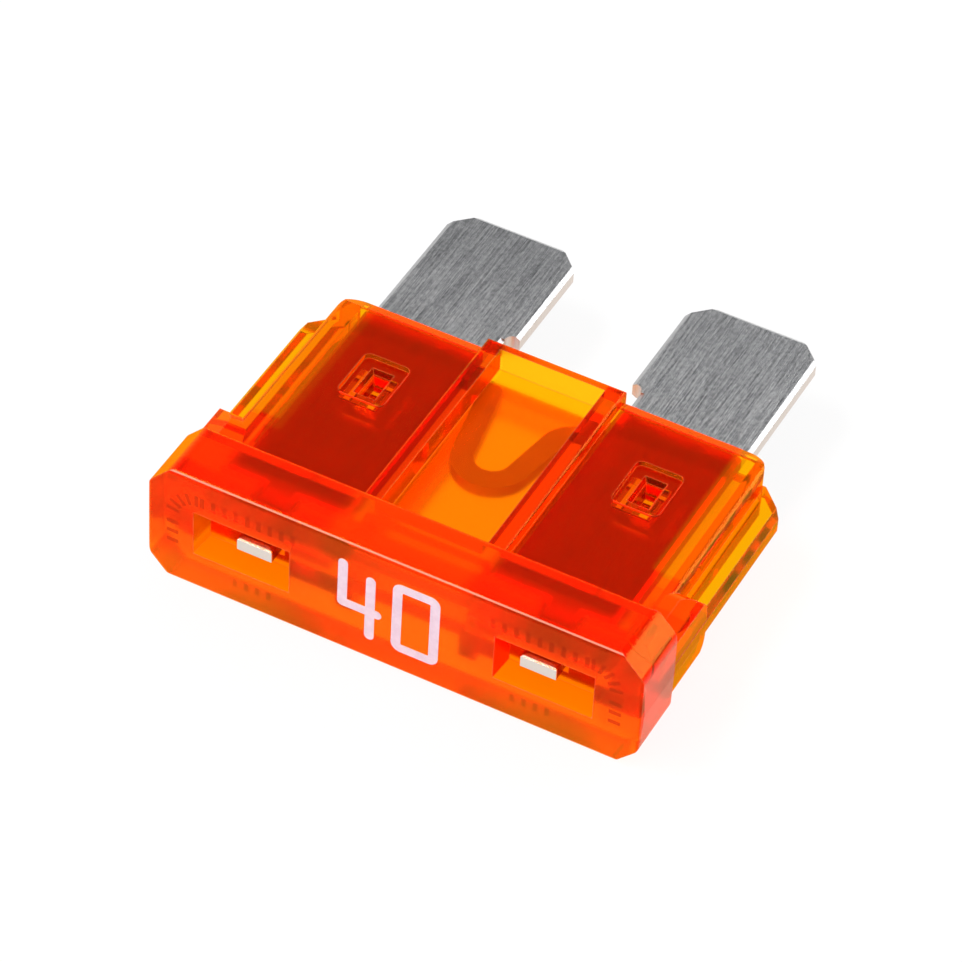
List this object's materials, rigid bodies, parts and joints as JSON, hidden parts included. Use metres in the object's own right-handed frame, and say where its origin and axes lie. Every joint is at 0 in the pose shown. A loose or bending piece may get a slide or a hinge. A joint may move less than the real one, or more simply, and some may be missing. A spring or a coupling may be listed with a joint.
{
  "type": "automotive blade fuse",
  "caption": "Plug-in automotive blade fuse: a translucent moulded housing with wide head, ribbed window and test pockets around a stamped element with flat blades.",
  "frame": {"origin": "centre of the bounding box, at its lowest level", "axes": "+X across both blades, +Y from the head's front face towards the blade tips, +Z through the thickness, up as the fuse lies"},
  "size_m": [0.019, 0.0192, 0.0051],
  "materials": {
    "housing_plastic": "translucent orange moulded plastic, polished",
    "tinned_metal": "tinned sheet metal, brushed lengthwise"
  },
  "bodies": {
    "root": {"housing": "housing_plastic", "fuse_element": "tinned_metal"}
  },
  "joints": []
}
